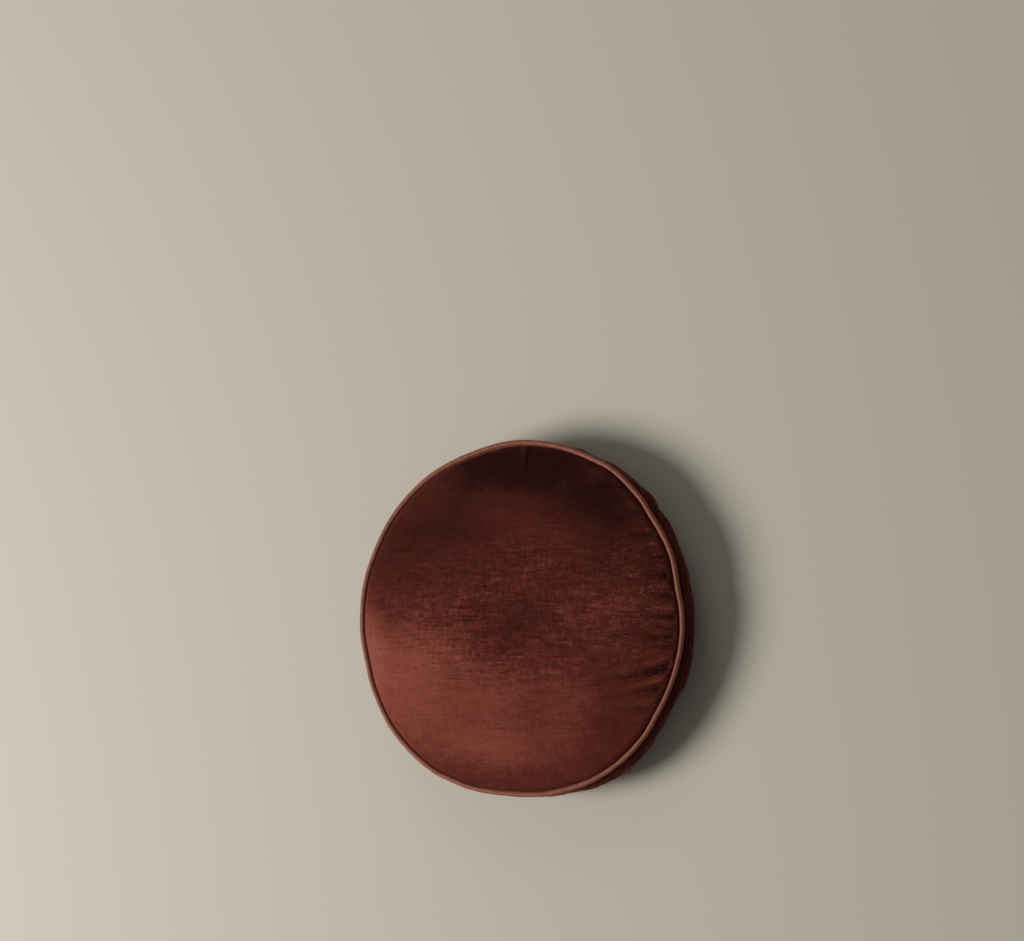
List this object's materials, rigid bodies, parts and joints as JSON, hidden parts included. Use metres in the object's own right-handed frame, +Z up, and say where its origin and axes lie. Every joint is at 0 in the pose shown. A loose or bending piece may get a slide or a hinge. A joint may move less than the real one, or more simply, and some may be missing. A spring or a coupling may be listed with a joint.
{
  "type": "disc pillow",
  "caption": "Round box pillow with a crowned front, a banded side and piping round both edges, lying on its back.",
  "frame": {"origin": "on the surface the pillow lies on, under the middle of its outline", "axes": "+Z up and out of the front panel, +X to the picture's right, +Y to the picture's top"},
  "size_m": [0.4572, 0.4474, 0.09],
  "materials": {
    "cushion_velvet": "slubby velvet with a soft sheen",
    "piping_velvet": "the same velvet cut on the bias over a cord"
  },
  "bodies": {
    "root": {"cushion": "cushion_velvet", "front_piping": "piping_velvet", "back_piping": "piping_velvet"}
  },
  "joints": []
}
